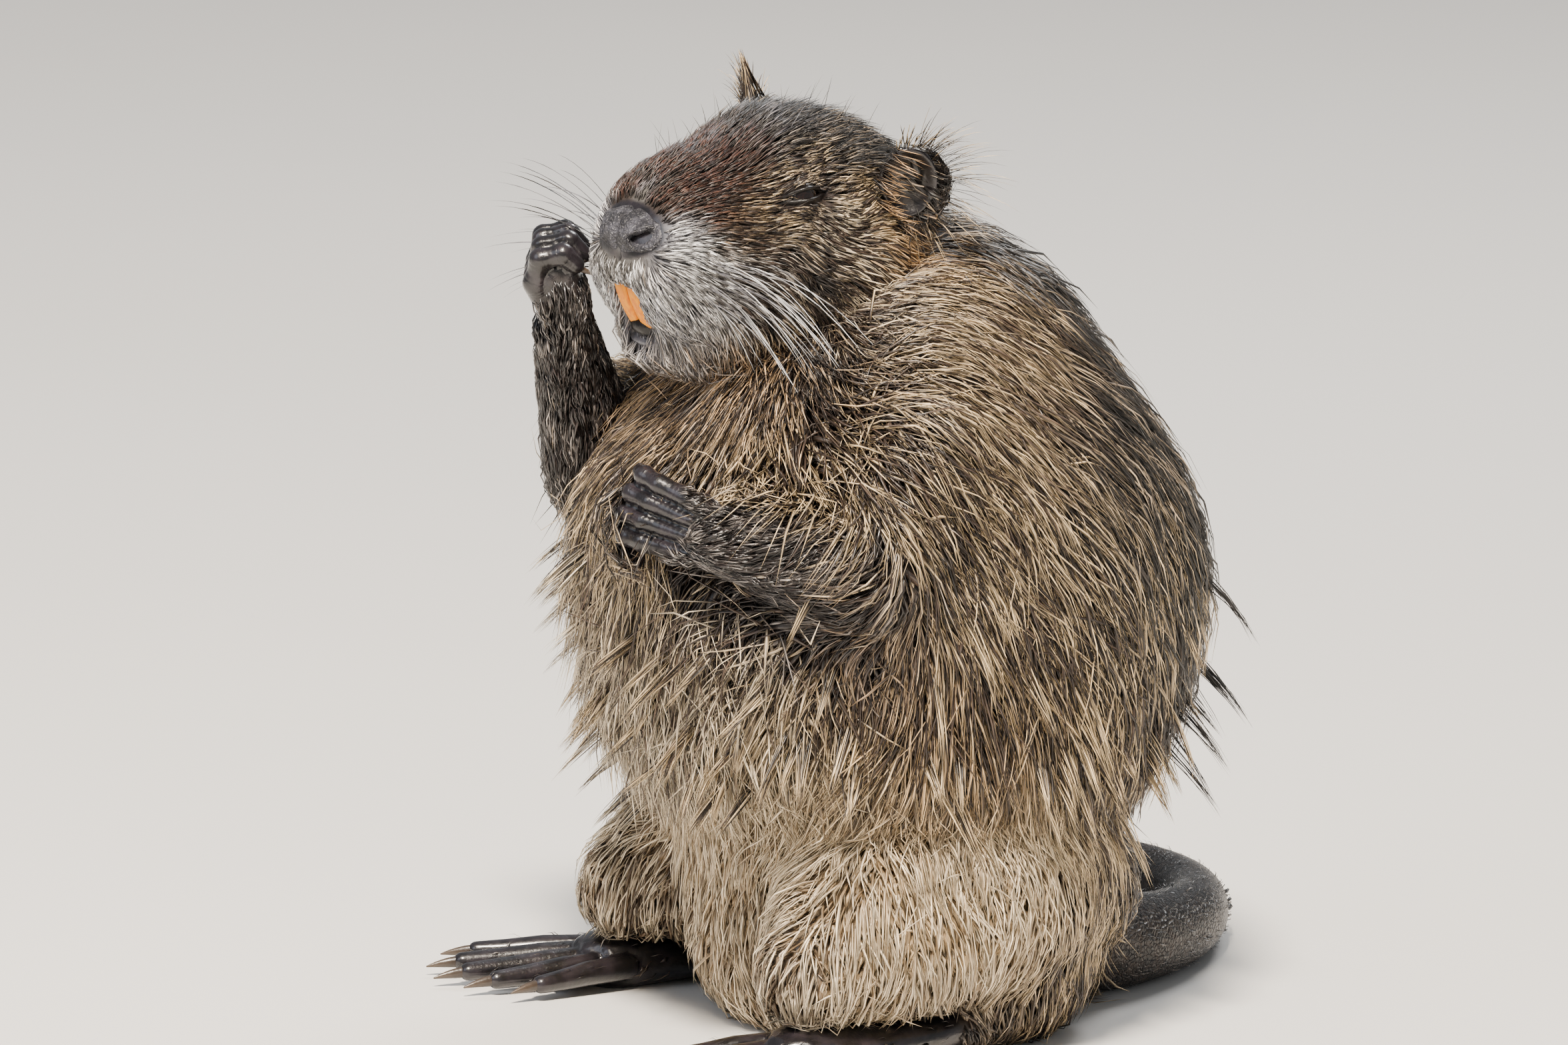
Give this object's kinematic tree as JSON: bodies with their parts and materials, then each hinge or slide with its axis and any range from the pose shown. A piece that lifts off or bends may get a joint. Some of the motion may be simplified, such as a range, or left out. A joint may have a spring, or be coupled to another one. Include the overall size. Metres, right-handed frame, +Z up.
{
  "type": "coypu",
  "caption": "Life-size coypu (nutria) sitting up on its haunches, one forepaw raised to its muzzle and the other on its belly.",
  "frame": {"origin": "on the floor, in the middle of the flat that the rump rests on, under the trunk", "axes": "+Z up; the animal faces -Y and its left side is +X"},
  "size_m": [0.2908, 0.3042, 0.3027],
  "materials": {
    "coat": "wet, clumped guard hair, straw-tipped over dark brown",
    "bare_skin": "wet dark bare skin",
    "nose_skin": "matt granular skin",
    "tail_skin": "scaly skin with sparse hair",
    "eye": "glossy",
    "tooth_enamel": "glossy orange enamel",
    "claw": "satin horn"
  },
  "bodies": {
    "root": {"ear_left": "bare_skin", "ear_right": "bare_skin", "eye_left": "eye", "eye_right": "eye", "foot_claw_left_1": "claw", "foot_claw_left_2": "claw", "foot_claw_left_3": "claw", "foot_claw_left_4": "claw", "foot_claw_left_5": "claw", "foot_claw_right_1": "claw", "foot_claw_right_2": "claw", "foot_claw_right_3": "claw", "foot_claw_right_4": "claw", "foot_claw_right_5": "claw", "foot_left": "bare_skin", "foot_right": "bare_skin", "forearm_left": "coat", "forearm_right": "coat", "hand_claw_left_2": "claw", "hand_claw_left_3": "claw", "hand_claw_left_4": "claw", "hand_claw_left_5": "claw", "hand_claw_right_2": "claw", "hand_claw_right_3": "claw", "hand_claw_right_4": "claw", "hand_claw_right_5": "claw", "hand_left": "bare_skin", "hand_right": "bare_skin", "head": "coat", "incisor_left": "tooth_enamel", "incisor_right": "tooth_enamel", "lower_jaw": "coat", "neck": "coat", "nose": "nose_skin", "tail_middle": "tail_skin", "tail_root": "tail_skin", "tail_tip": "tail_skin", "thigh_left": "coat", "thigh_right": "coat", "trunk": "coat", "upper_arm_left": "coat", "upper_arm_right": "coat"}
  },
  "joints": []
}
